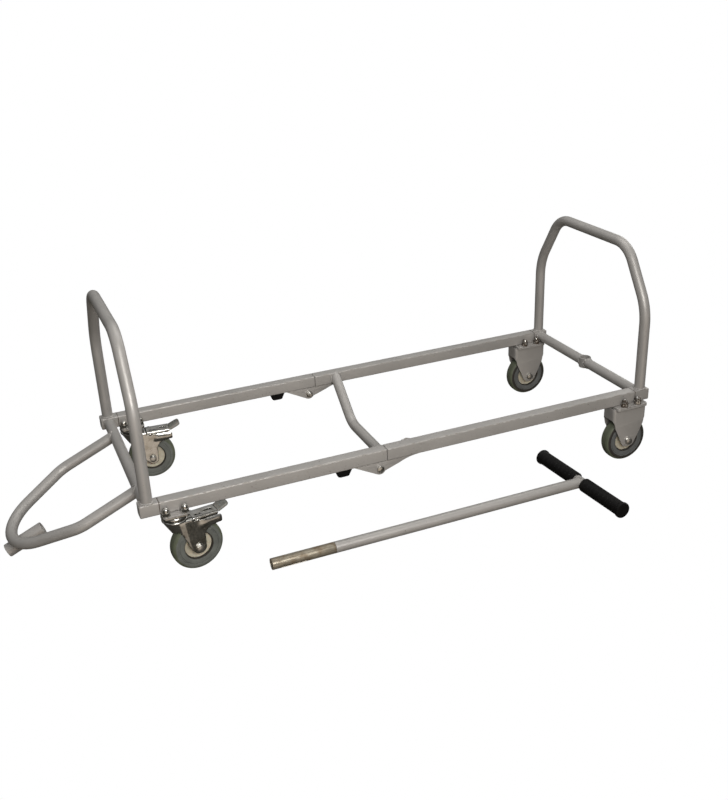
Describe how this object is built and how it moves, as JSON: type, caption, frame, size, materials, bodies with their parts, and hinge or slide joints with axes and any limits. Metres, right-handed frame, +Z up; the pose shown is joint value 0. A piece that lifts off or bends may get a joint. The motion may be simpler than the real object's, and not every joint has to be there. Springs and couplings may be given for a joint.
{
  "type": "folding trolley",
  "caption": "Low folding trolley for tyres: hinged box rails, an upright tube loop at each end, braked swivel and rigid casters, a hinged drawbar and a loose T-handle.",
  "frame": {"origin": "middle of the resting trolley's bounding box, on the floor", "axes": "+X from the drawbar end to the rear along the rails, +Z up; the T-handle lies on the -Y side"},
  "size_m": [1.3314, 0.6418, 0.4687],
  "materials": {
    "silver_paint": "satin silver-grey paint",
    "zinc": "bright zinc plating",
    "steel": "plain steel",
    "grey_tyre": "matt grey rubber",
    "cream_hub": "moulded plastic",
    "black_grip": "matt black rubber",
    "black_buffer": "matt black rubber",
    "grey_pedal": "moulded plastic"
  },
  "bodies": {
    "handle": {"handle_shank": "zinc", "handle_stem": "silver_paint", "handle_crossbar": "silver_paint", "handle_grip_left": "black_grip", "handle_grip_right": "black_grip"},
    "hinge_pins": {"hinge_bolts": "zinc", "hinge_nuts": "zinc", "hinge_spacers": "steel"},
    "front_frame": {"front_rail_left": "silver_paint", "front_rail_right": "silver_paint", "front_corners": "silver_paint", "front_loop": "silver_paint", "drawbar_spindle": "steel", "front_hinge_plates": "silver_paint", "buffers": "black_buffer", "front_mount_plates": "silver_paint", "swivel_plates": "zinc", "front_caster_bolts": "zinc", "front_caster_washers": "zinc", "front_caster_nuts": "zinc", "kingpins": "zinc", "swivel_balls": "steel"},
    "rear_frame": {"rear_rail_left": "silver_paint", "rear_rail_right": "silver_paint", "rear_corners": "silver_paint", "rear_loop": "silver_paint", "rear_crossbar": "silver_paint", "handle_sleeve": "silver_paint", "mid_brace": "silver_paint", "rear_hinge_plates": "silver_paint", "rear_mount_plates": "silver_paint", "rigid_bracket_left": "silver_paint", "rigid_bracket_right": "silver_paint", "rear_caster_bolts": "zinc", "rear_caster_washers": "zinc", "rear_caster_nuts": "zinc", "rear_axle_bolts": "zinc", "rear_axle_nuts": "zinc"},
    "drawbar": {"drawbar_crossbar": "silver_paint", "drawbar_loop": "silver_paint", "drawbar_socket": "silver_paint"},
    "swivel_left": {"fork_left": "zinc", "axle_bolt_left": "zinc", "axle_nut_left": "zinc"},
    "brake_left": {"brake_lever_left": "zinc", "brake_pedal_left": "grey_pedal"},
    "front_wheel_left": {"front_tyre_left": "grey_tyre", "front_hub_left": "cream_hub"},
    "rear_wheel_left": {"rear_tyre_left": "grey_tyre", "rear_hub_left": "cream_hub"},
    "swivel_right": {"fork_right": "zinc", "axle_bolt_right": "zinc", "axle_nut_right": "zinc"},
    "brake_right": {"brake_lever_right": "zinc", "brake_pedal_right": "grey_pedal"},
    "front_wheel_right": {"front_tyre_right": "grey_tyre", "front_hub_right": "cream_hub"},
    "rear_wheel_right": {"rear_tyre_right": "grey_tyre", "rear_hub_right": "cream_hub"}
  },
  "joints": [
    {"name": "frame_lift", "type": "slide", "parent": "handle", "child": "hinge_pins", "axis": [0, 0, 1], "range_m": [0, 0.7901]},
    {"name": "frame_fold", "type": "hinge", "parent": "hinge_pins", "child": "front_frame", "pos_m": [0.03471, 0.0909, 0.12156], "axis": [0, -1, 0], "range_deg": [0, 78]},
    {"name": "rear_fold", "type": "hinge", "parent": "hinge_pins", "child": "rear_frame", "pos_m": [0.03471, 0.0909, 0.12156], "axis": [0, 1, 0], "range_deg": [0, 78]},
    {"name": "drawbar_hinge", "type": "hinge", "parent": "front_frame", "child": "drawbar", "pos_m": [-0.41379, 0.0909, 0.14756], "axis": [0, 1, 0], "range_deg": [0, 202]},
    {"name": "swivel_left", "type": "hinge", "parent": "front_frame", "child": "swivel_left", "pos_m": [-0.36829, -0.1096, 0.11926], "axis": [0, 0, 1], "continuous": true},
    {"name": "brake_left", "type": "hinge", "parent": "swivel_left", "child": "brake_left", "pos_m": [-0.33264, -0.10459, 0.10706], "axis": [-0.1392, 0.9903, 0], "range_deg": [0, 8]},
    {"name": "front_spin_left", "type": "hinge", "parent": "swivel_left", "child": "front_wheel_left", "pos_m": [-0.33363, -0.10473, 0.05006], "axis": [-0.1392, 0.9903, 0], "continuous": true},
    {"name": "rear_spin_left", "type": "hinge", "parent": "rear_frame", "child": "rear_wheel_left", "pos_m": [0.61471, -0.1096, 0.05006], "axis": [0, 1, 0], "continuous": true},
    {"name": "swivel_right", "type": "hinge", "parent": "front_frame", "child": "swivel_right", "pos_m": [-0.36829, 0.2914, 0.11926], "axis": [0, 0, 1], "continuous": true},
    {"name": "brake_right", "type": "hinge", "parent": "swivel_right", "child": "brake_right", "pos_m": [-0.33242, 0.28826, 0.10706], "axis": [0.0872, 0.9962, 0], "range_deg": [0, 8]},
    {"name": "front_spin_right", "type": "hinge", "parent": "swivel_right", "child": "front_wheel_right", "pos_m": [-0.33342, 0.28835, 0.05006], "axis": [0.0872, 0.9962, 0], "continuous": true},
    {"name": "rear_spin_right", "type": "hinge", "parent": "rear_frame", "child": "rear_wheel_right", "pos_m": [0.61471, 0.2914, 0.05006], "axis": [0, 1, 0], "continuous": true}
  ],
  "couplings": [
    {"joint": "rear_fold", "follows": "frame_fold", "ratio": 1},
    {"joint": "frame_lift", "follows": "frame_fold", "m_per_rad": 0.58}
  ]
}
